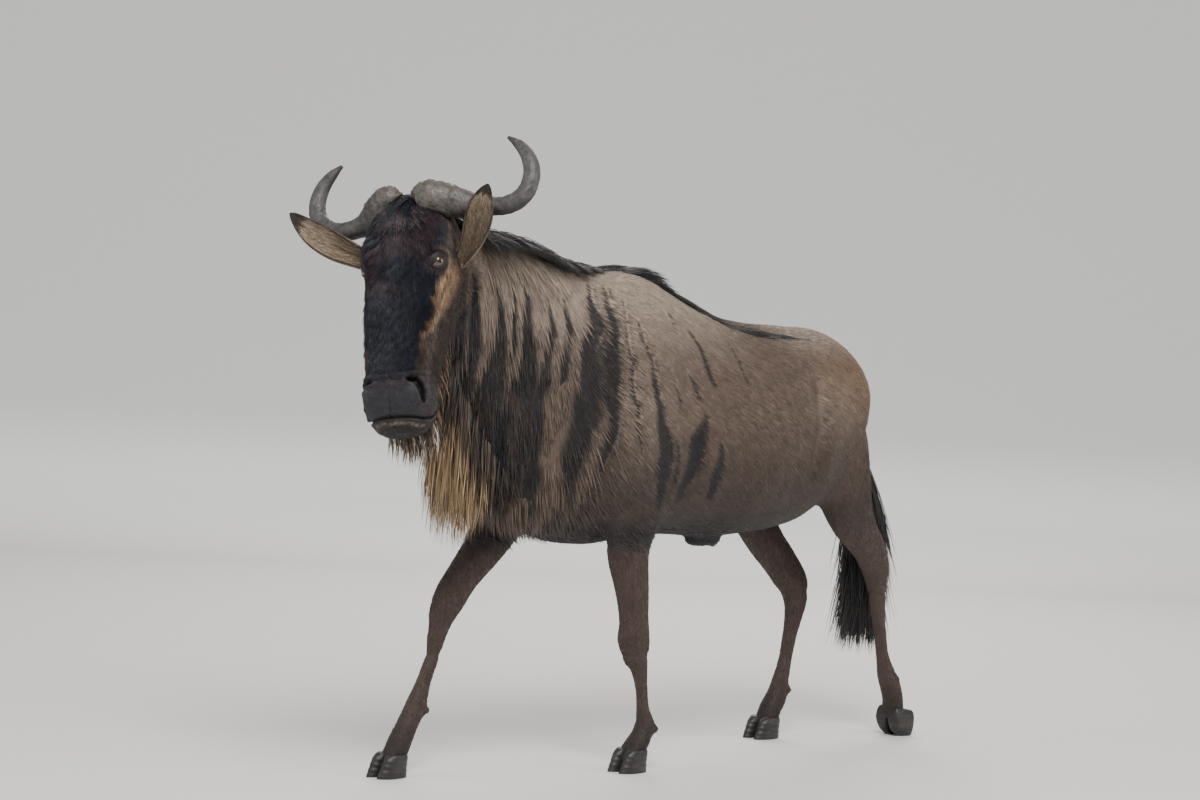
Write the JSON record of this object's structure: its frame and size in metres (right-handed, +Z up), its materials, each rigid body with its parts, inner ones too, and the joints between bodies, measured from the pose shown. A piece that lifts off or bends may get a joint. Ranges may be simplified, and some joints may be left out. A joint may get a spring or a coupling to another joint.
{
  "type": "wildebeest",
  "caption": "Still, life-size model of a wildebeest bull in mid-walk, head turned to its left, with curved horns, dark mane, pale beard and long black tail.",
  "frame": {"origin": "floor level, under the middle of the model's box", "axes": "+X towards the tail, +Y towards the animal's right side, +Z up"},
  "size_m": [2.0182, 0.601, 1.5411],
  "materials": {
    "coat": "short flat hair, dark stripes on neck and shoulder",
    "leg": "short flat hair",
    "face": "longish dark hair, bare dark grey nose",
    "ear": "thin hair with a dark tip",
    "tail": "long coarse hair",
    "horn": "satin horn, rough at the base",
    "hoof": "satin horn",
    "eye": "wet gloss"
  },
  "bodies": {
    "root": {"head": "face", "neck": "coat", "chest": "coat", "belly": "coat", "rump": "coat", "eye_left": "eye", "horn_left": "horn", "ear_left": "ear", "eye_right": "eye", "horn_right": "horn", "ear_right": "ear", "leg_front_left_upper": "leg", "leg_front_left_cannon": "leg", "leg_front_left_pastern": "leg", "hoof_front_left_left": "hoof", "hoof_front_left_right": "hoof", "leg_front_right_upper": "leg", "leg_front_right_cannon": "leg", "leg_front_right_pastern": "leg", "hoof_front_right_left": "hoof", "hoof_front_right_right": "hoof", "leg_hind_left_upper": "leg", "leg_hind_left_cannon": "leg", "leg_hind_left_pastern": "leg", "hoof_hind_left_left": "hoof", "hoof_hind_left_right": "hoof", "leg_hind_right_upper": "leg", "leg_hind_right_cannon": "leg", "leg_hind_right_pastern": "leg", "hoof_hind_right_left": "hoof", "hoof_hind_right_right": "hoof", "tail_dock": "coat", "tail_tuft": "tail", "scrotum": "leg"}
  },
  "joints": []
}
